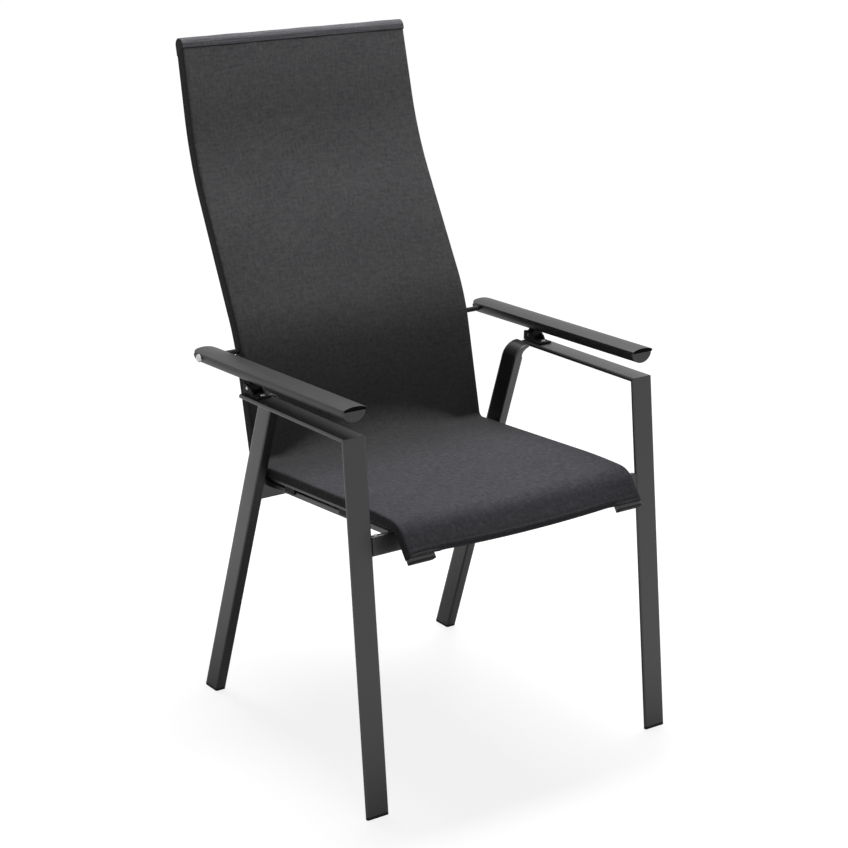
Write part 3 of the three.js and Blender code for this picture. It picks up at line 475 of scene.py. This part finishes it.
def backRuns(tangent):
    return [
        (sling["lowerStraight"] - tangent, lumbarStops[0]),
        (sling["lumbarRadius"], -sling["lumbarTurn"], lumbarStops[1]),
        (sling["middleStraight"], 24),
        (sling["neckRadius"], sling["neckTurn"], 18),
        (sling["headStraight"], 16),
    ]


backLine = followRuns(slingCorner, backHeading, backRuns(0))
taperStart = backLine[sum(lumbarStops)][0].z
taperRise = backLine[-1][0].z - taperStart


def placeAcross(x, height):
    # the back narrows on each side from its lumbar arc to the head
    narrow = sling["taper"] * min(max((height - taperStart) / taperRise, 0), 1)
    if abs(x) < sling["railInner"]:
        return x * (sling["railInner"] - narrow) / sling["railInner"]
    return x - math.copysign(narrow, x)


def sagged(stops, turn, depth, back):
    # rows of (point, direction away from the sitter, sag, share of the back)
    last = len(stops) - 1
    return [
        (point, angle + turn, depth * math.sin(math.pi * i / last) ** 2, back)
        for i, (point, angle) in enumerate(stops)
    ]


def slingRows(x):
    # the cloth's front surface at one place across, from the front hem to the top
    openness = min(abs(x) / sling["railInner"], 1)
    middle = 1 - openness * openness
    radius = sling["creaseEdge"] + (sling["creaseMiddle"] - sling["creaseEdge"]) * middle
    tangent = radius / math.tan(creaseHalf)
    free = smooth((sling["railInner"] - abs(x)) / sling["curlEdge"])
    drop = sling["drop"] - sling["curl"] + sling["frontBelly"] * middle
    curlTurn = max(sling["curlTurn"] * free, 0.5)
    seatRuns = [
        (sling["seatStraight"] - tangent, 40),
        (sling["crownRadius"], sling["seatSlope"], 12),
        (sling["bendRadius"], sling["bendTurn"], 14),
        (drop - sling["dropTrim"], 9),
        (sling["curl"] / math.radians(curlTurn), curlTurn, 12),
    ]
    seatStart = slingCorner + heading(seatHeading) * tangent
    backStart = slingCorner + heading(backHeading) * tangent
    seatStops = followRuns(seatStart, seatHeading, seatRuns)
    backStops = followRuns(backStart, backHeading, backRuns(tangent))
    centre = seatStart - heading(seatHeading + 90) * radius
    turnSpan = backHeading - 90 + 360 - (seatHeading + 90)
    crease = []
    for i in range(1, sling["creaseSteps"]):
        share = i / sling["creaseSteps"]
        away = seatHeading + 90 + turnSpan * share
        crease.append((centre + heading(away) * radius, away, 0.0, smooth(share)))
    seatRows = sagged(list(reversed(seatStops)), 90, sling["seatSag"] * middle, 0.0)
    return seatRows + crease + sagged(backStops, -90, sling["backSag"] * middle, 1.0)


def slingColumns():
    # places across, from the middle to the edge, then down the rail's side:
    # (x, depth at the rounded edge, share of the way down the side)
    inner, edge, radius = sling["railInner"], sling["halfWidth"], sling["edgeRadius"]
    flat = edge - radius
    columns = [(inner * i / 22, 0.0, 0.0) for i in range(23)]
    columns += [(inner + (flat - inner) * i / 6, 0.0, 0.0) for i in range(1, 7)]
    for i in range(1, 5):
        turn = math.pi / 2 * i / 4
        columns.append((flat + radius * math.sin(turn), radius * (1 - math.cos(turn)), 0.0))
    columns += [(edge, radius, share) for share in (0.2, 0.4, 0.6, 0.8, 0.9)]
    columns.append((edge - sling["rollIn"], radius, 1.0))
    return columns


def lengthsAlong(points):
    lengths = [0.0]
    for before, after in zip(points, points[1:]):
        lengths.append(lengths[-1] + (after - before).length)
    return lengths


def writeCloth(mesh, coordinates):
    # places across, along and from the hem, for the cloth's threads and stitches
    layer = mesh.attributes.get("cloth") or mesh.attributes.new("cloth", "FLOAT_VECTOR", "POINT")
    values = [value for row in coordinates for triple in row for value in triple]
    layer.data.foreach_set("vector", values)


def clothMesh(name, grid, coordinates, material, closedLoop=False):
    rows, columns = len(grid), len(grid[0])
    vertices = [point for row in grid for point in row]
    faces = []
    for i in range(rows - 1):
        for j in range(columns - 1):
            a = i * columns + j
            faces.append((a, a + 1, a + columns + 1, a + columns))
        if closedLoop:
            a = i * columns
            faces.append((a + columns - 1, a, a + columns, a + 2 * columns - 1))
    mesh = bpy.data.meshes.new(name)
    mesh.from_pydata(vertices, [], faces)
    mesh.materials.append(material)
    writeCloth(mesh, coordinates)
    for face in mesh.polygons:
        face.use_smooth = True
    mesh.update()
    item = bpy.data.objects.new(name, mesh)
    scene.collection.objects.link(item)
    return item


def hemDepth(x, travelled):
    # the shallow furrows of the front hem's stitching stop before the edge
    if abs(x) >= sling["halfWidth"] - sling["furrowInset"]:
        return 0.0
    away = [(travelled - place) / sling["furrowWidth"] for place in hemLines]
    return sum(sling["hemFurrow"] * math.exp(-(step ** 2)) for step in away)


def makeSling():
    side = slingColumns()
    edgeRows = slingRows(sling["halfWidth"])
    travelled = lengthsAlong([row[0] for row in edgeRows])
    columns = [(-x, base, share) for x, base, share in reversed(side)] + side[1:]
    rowsAcross = [slingRows(x) for x, base, share in columns]
    # each column measures its own way along the cloth
    ways = [lengthsAlong([row[0] for row in rows]) for rows in rowsAcross]
    steps = sling["sleeveSteps"]
    ways = [ways[0]] * steps + ways + [ways[-1]] * steps
    grid = []
    coordinates = []
    for r, (edge, edgeAway, edgeSag, toBack) in enumerate(edgeRows):
        wrap = sling["seatWrap"] + (sling["backWrap"] - sling["seatWrap"]) * toBack
        line = []
        for (x, base, share), rows in zip(columns, rowsAcross):
            point, away, sag, back = rows[r]
            depth = base + share * (wrap - base) + sag + hemDepth(x, travelled[r])
            line.append(point + heading(away) * depth + Vector((placeAcross(x, point.z), 0, 0)))
        # behind the back rails the cloth goes on, as a sleeve, to the rails' inner edges
        climb = smooth((travelled[r] - sling["sleeveStart"]) / sling["sleeveBlend"])
        reach = sling["flatReach"] + (sling["sleeveReach"] - sling["flatReach"]) * climb
        halves = []
        for sign in (-1, 1):
            strip = []
            for k in range(1, steps + 1):
                x = sign * (sling["halfWidth"] - sling["rollIn"] - reach * (k / steps))
                lift = 0.0 if k > 1 else -sling["tuck"]
                across = Vector((placeAcross(x, edge.z), 0, 0))
                strip.append(edge + heading(edgeAway) * (wrap + lift) + across)
            halves.append(strip)
        line = list(reversed(halves[0])) + line + halves[1]
        middle = len(line) // 2
        rightward = lengthsAlong(line[middle:])
        leftward = lengthsAlong(list(reversed(line[:middle + 1])))
        walked = [-length for length in reversed(leftward)] + rightward[1:]
        grid.append(line)
        coordinates.append([(walked[k], ways[k][r], travelled[r]) for k in range(len(line))])
    item = clothMesh("sling", grid, coordinates, clothMaterial)
    solid = item.modifiers.new("thickness", "SOLIDIFY")
    solid.thickness = sling["thickness"]
    solid.offset = -1
    return item


slingPiece = makeSling()
print("sling made", len(slingPiece.data.vertices))


# The top hem: a closed sleeve over the top bar with rounded ends
topHem = {
    "barDepth": 0.01015,
    "stand": 0.0009,
    "front": 0.006,
    "rear": 0.017,
    "endRadius": 0.0012,
    "halfWidth": 0.2185,
    "lip": 0.0007,
    "lipRise": 0.0006,
    "ripple": 0.0003,
    "flapSteps": 7,
    "roundSteps": 16,
    "endSteps": 6,
    "acrossSteps": 40,
    "stitches": (0.0075,),
    "frontLength": 0.02,
}
# the hem's lighter threads are painted light: the sling's cloth made lighter for the light on its
# roll over the top bar
hemLook = dict(clothLook, folds=0.6, lightThread=(0.105, 0.103, 0.108, 1))
hemMaterial = makeCloth("hemCloth", hemLook, stitches=topHem["stitches"])


def hemSection(radius):
    # (depth, height) from the front flap's lower edge, over the top, to the rear flap's lower edge
    front, rear, flap = topHem["front"], topHem["rear"], topHem["flapSteps"]
    lip, lipRise = radius - topHem["lip"], topHem["lipRise"]
    section = [(-lip, -front), (-radius, lipRise - front)]
    section += [(-radius, -front * (1 - i / flap)) for i in range(1, flap)]
    for i in range(topHem["roundSteps"] + 1):
        turn = math.pi * i / topHem["roundSteps"]
        section.append((-radius * math.cos(turn), radius * math.sin(turn)))
    section += [(radius, -rear * i / flap) for i in range(1, flap)]
    return section + [(radius, lipRise - rear), (lip, -rear)]


def hemPlaces():
    # (x, inset) across: the ends are rounded
    radius, steps = topHem["endRadius"], topHem["endSteps"]
    ends = []
    for i in range(steps + 1):
        turn = math.pi / 2 * i / steps
        x = topHem["halfWidth"] - radius * (1 - math.cos(turn))
        ends.append((x, radius * (1 - math.sin(turn))))
    inner, count = ends[-1][0], topHem["acrossSteps"]
    middle = [(-inner + 2 * inner * i / count, 0.0) for i in range(1, count)]
    return [(-x, inset) for x, inset in ends] + middle + list(reversed(ends))


def makeTopHem():
    angle = 90 - sling["backLean"] - sling["lumbarTurn"] + sling["neckTurn"]
    up = heading(angle)
    rear = heading(angle - 90)
    radius = topHem["barDepth"] + topHem["stand"]
    centre = slingRows(0.2)[-1][0] + rear * topHem["barDepth"]
    section = hemSection(radius)
    lengths = [0.0]
    for before, after in zip(section, section[1:]):
        lengths.append(lengths[-1] + math.dist(before, after))
    places = hemPlaces()
    grid = []
    coordinates = []
    for x, inset in places:
        line = []
        cloth = []
        ripple = topHem["ripple"] * math.sin(x * 61) * math.sin(x * 23 + 1)
        for (side, height), length in zip(section, lengths):
            spot = Vector((x, 0, 0)) + centre
            if height < 0:
                spot = spot + rear * (side * (radius - inset + ripple) / radius) + up * height
            else:
                reach = math.hypot(side, height)
                scale = (reach - inset + ripple) / reach
                spot = spot + rear * (side * scale) + up * (height * scale)
            line.append(spot)
            # only the front's stitches are sewn, so the rest is far from the hem
            cloth.append((x, length, length if length < topHem["frontLength"] else 0.5))
        grid.append(line)
        coordinates.append(cloth)
    item = clothMesh("topHem", grid, coordinates, hemMaterial, closedLoop=True)
    mesh = item.data
    columns = len(section)
    lastRow = (len(places) - 1) * columns
    ends = [tuple(reversed(range(columns))), tuple(range(lastRow, lastRow + columns))]
    vertices = [vertex.co[:] for vertex in mesh.vertices]
    faces = [tuple(face.vertices) for face in mesh.polygons] + ends
    mesh.clear_geometry()
    mesh.from_pydata(vertices, [], faces)
    writeCloth(mesh, coordinates)
    for face in mesh.polygons:
        face.use_smooth = len(face.vertices) == 4
    mesh.update()
    return item


topHemPiece = makeTopHem()
print("top hem made")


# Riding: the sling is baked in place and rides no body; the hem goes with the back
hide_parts("sling_seat", "sling_back")
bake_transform(slingPiece)
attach(topHemPiece, "back")


# Floor, backdrop and light
studio = {
    "floorRadius": 30.0,
    "floorGrey": 0.45,
    "glowReach": (0.5, 3.5),
    "glowNear": 0.84,
    "glowFar": 1.0,
    "shineReach": (0.25, 1.0),
    "shineNear": 0.15,
    "shineFar": 0.92,
    "ambient": 0.06,
    "darkSide": (0.3, -0.95, 0.0),
    "darkReach": (0.35, 0.9),
    "darkShare": 0.4,
}


def makeFloor():
    steps = 96
    vertices = [(0.0, 0.0, 0.0)]
    for i in range(steps):
        turn = 2 * math.pi * i / steps
        radius = studio["floorRadius"]
        vertices.append((radius * math.cos(turn), radius * math.sin(turn), 0.0))
    faces = [(0, i + 1, (i + 1) % steps + 1) for i in range(steps)]
    mesh = bpy.data.meshes.new("floor")
    mesh.from_pydata(vertices, [], faces)
    paint = Paint("floorPaper")
    place = paint.coordinates("Object")
    camera, sharp = paint.sharpRays()
    tone = paint.noise(place, 3, 2) * 0.01 + studio["floorGrey"]
    colour = paint.node("ShaderNodeCombineColor", None, {0: tone, 1: tone, 2: tone})
    paint.feed(Base_Color=colour, Roughness=0.9, Specular_IOR_Level=0.0)
    # the camera sees plain white paper, polished faces see it fade towards the chair's feet
    distance = paint.node("ShaderNodeVectorMath", {"operation": "LENGTH"}, {0: place}, 1)
    direct = paint.spread(distance, studio["glowReach"], studio["glowNear"], studio["glowFar"])
    mirrored = paint.spread(distance, studio["shineReach"], studio["shineNear"], studio["shineFar"])
    strength = sharp * (direct * camera + mirrored * (1 - camera))
    glow = paint.node("ShaderNodeEmission", None, {"Strength": strength})
    both = paint.tree.nodes.new("ShaderNodeAddShader")
    paint.tree.links.new(paint.shader.outputs[0], both.inputs[0])
    paint.tree.links.new(glow.socket, both.inputs[1])
    paint.tree.links.new(both.outputs[0], paint.output.inputs["Surface"])
    mesh.materials.append(paint.holder)
    item = bpy.data.objects.new("floor", mesh)
    scene.collection.objects.link(item)


def makeWorld():
    world = bpy.data.worlds.new("studioAir")
    scene.world = world
    paint = Paint("studioAir", "ShaderNodeBackground", world)
    camera, sharp = paint.sharpRays()
    # the studio is darker on the side that the sitter faces
    ways = {0: paint.coordinates("Generated"), 1: studio["darkSide"]}
    facing = paint.node("ShaderNodeVectorMath", {"operation": "DOT_PRODUCT"}, ways, 1)
    dark = paint.spread(facing, studio["darkReach"], 0.0, studio["darkShare"], "SMOOTHSTEP")
    light = sharp * (1 - studio["ambient"]) + studio["ambient"]
    paint.feed(Color=(1, 1, 1, 1), Strength=light * (1 - dark * (1 - camera)))


# The overhead lamp gives the back its fall-off, the front one only fills and isn't mirrored
lamps = {
    "overheadLamp": {
        "at": (0.3, 0.3, 1.95),
        "towards": (0.3, 0.31, 0),
        "sizes": (1.5, 0.6),
        "power": 30,
        "mirrored": True,
    },
    "frontLamp": {
        "at": (-0.6, -3.1, 1.7),
        "towards": (0, 0, 0.45),
        "sizes": (2.4, 2.4),
        "power": 11,
        "mirrored": False,
    },
}


def makeLamps():
    for name, facts in lamps.items():
        light = bpy.data.lights.new(name, "AREA")
        light.shape = "RECTANGLE"
        light.size, light.size_y = facts["sizes"]
        light.energy = facts["power"]
        item = bpy.data.objects.new(name, light)
        item.location = facts["at"]
        towards = Vector(facts["towards"]) - item.location
        item.rotation_mode = "QUATERNION"
        item.rotation_quaternion = towards.to_track_quat("-Z", "Y")
        item.visible_camera = False
        item.visible_glossy = facts["mirrored"]
        scene.collection.objects.link(item)


cameraFacts = {
    "azimuth": -37.597,
    "elevation": 19.034,
    "roll": 2.122,
    "distance": 4.0277,
    "target": (0.16432, 0.15636, 0.39829),
    "lens": 99.52,
}


def makeCamera():
    a = math.radians(cameraFacts["azimuth"])
    e = math.radians(cameraFacts["elevation"])
    r = math.radians(cameraFacts["roll"])
    level = Vector((math.cos(a), math.sin(a), 0))
    backward = Vector((math.sin(a) * math.cos(e), -math.cos(a) * math.cos(e), math.sin(e)))
    upright = backward.cross(level)
    right = level * math.cos(r) + upright * math.sin(r)
    up = upright * math.cos(r) - level * math.sin(r)
    data = bpy.data.cameras.new("camera")
    data.sensor_width = 36
    data.lens = cameraFacts["lens"]
    item = bpy.data.objects.new("camera", data)
    item.rotation_mode = "QUATERNION"
    turned = item.rotation_quaternion.to_matrix()
    for i, axis in enumerate((right, up, backward)):
        for j in range(3):
            turned[j][i] = axis[j]
    item.rotation_quaternion = turned.to_quaternion()
    item.location = Vector(cameraFacts["target"]) + backward * cameraFacts["distance"]
    scene.collection.objects.link(item)
    scene.camera = item


makeFloor()
makeWorld()
makeLamps()
makeCamera()
scene.view_settings.view_transform = "Standard"
print("studio made")
